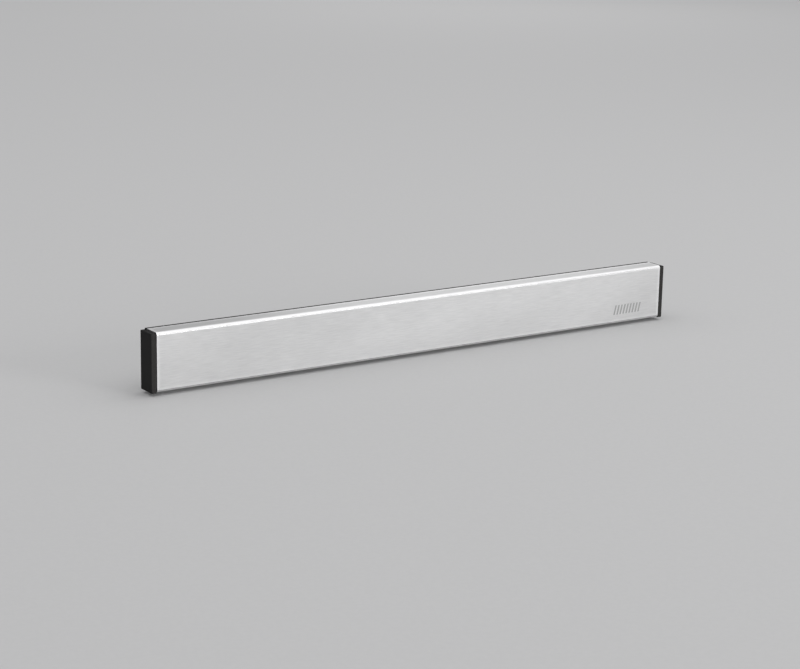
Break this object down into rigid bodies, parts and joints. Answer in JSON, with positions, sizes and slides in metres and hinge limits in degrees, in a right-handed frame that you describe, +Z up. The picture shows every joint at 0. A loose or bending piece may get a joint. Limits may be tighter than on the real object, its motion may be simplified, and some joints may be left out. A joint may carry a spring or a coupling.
{
  "type": "knife magnetic rack",
  "caption": "Slim wall-mounted magnetic knife rack: folded stainless cover, black end caps, magnets on a steel yoke, hung on two hooked wall plates.",
  "frame": {"origin": "on the wall plane, at the middle of the rack's length and height, between the two wall plates", "axes": "+X along the rack to the right as one faces it, +Y into the wall, +Z up; the knife face looks towards -Y"},
  "size_m": [0.4, 0.016, 0.0373],
  "materials": {
    "satin_stainless": "satin stainless sheet with a fine lengthwise grain",
    "black_plastic": "fine-textured black moulding",
    "tray_plastic": "natural white moulding",
    "zinc_steel": "zinc-plated mild steel",
    "film": "translucent double-sided film",
    "magnet_nickel": "nickel-plated magnet",
    "hanger_stainless": "stainless sheet, mill finish",
    "plate_stainless": "brushed stainless sheet",
    "screw_steel": "zinc-plated screws",
    "adhesive_foam": "grey acrylic foam tape",
    "bumper_rubber": "soft black rubber"
  },
  "bodies": {
    "wall_mount": {"wall_plate_left": "plate_stainless", "wall_plate_right": "plate_stainless", "adhesive_pad_left": "adhesive_foam", "adhesive_pad_right": "adhesive_foam"},
    "rack": {"steel_cover": "satin_stainless", "end_cap_left": "black_plastic", "end_cap_right": "black_plastic", "back_shell": "black_plastic", "magnet_tray": "tray_plastic", "yoke_plate": "zinc_steel", "bonding_film": "film", "hanger_plate_left": "hanger_stainless", "hanger_plate_right": "hanger_stainless", "hanger_screws": "screw_steel", "tray_screws": "screw_steel", "magnet_upper_01": "magnet_nickel", "magnet_upper_02": "magnet_nickel", "magnet_upper_03": "magnet_nickel", "magnet_upper_04": "magnet_nickel", "magnet_upper_05": "magnet_nickel", "magnet_upper_06": "magnet_nickel", "magnet_upper_07": "magnet_nickel", "magnet_upper_08": "magnet_nickel", "magnet_upper_09": "magnet_nickel", "magnet_upper_10": "magnet_nickel", "magnet_lower_01": "magnet_nickel", "magnet_lower_02": "magnet_nickel", "magnet_lower_03": "magnet_nickel", "magnet_lower_04": "magnet_nickel", "magnet_lower_05": "magnet_nickel", "magnet_lower_06": "magnet_nickel", "magnet_lower_07": "magnet_nickel", "magnet_lower_08": "magnet_nickel", "magnet_lower_09": "magnet_nickel", "magnet_lower_10": "magnet_nickel", "bumper_upper_left": "bumper_rubber", "bumper_upper_right": "bumper_rubber", "bumper_lower_left": "bumper_rubber", "bumper_lower_right": "bumper_rubber"}
  },
  "joints": [
    {"name": "lift_off", "type": "slide", "parent": "wall_mount", "child": "rack", "axis": [0, 0, 1], "range_m": [0, 0.007]}
  ]
}
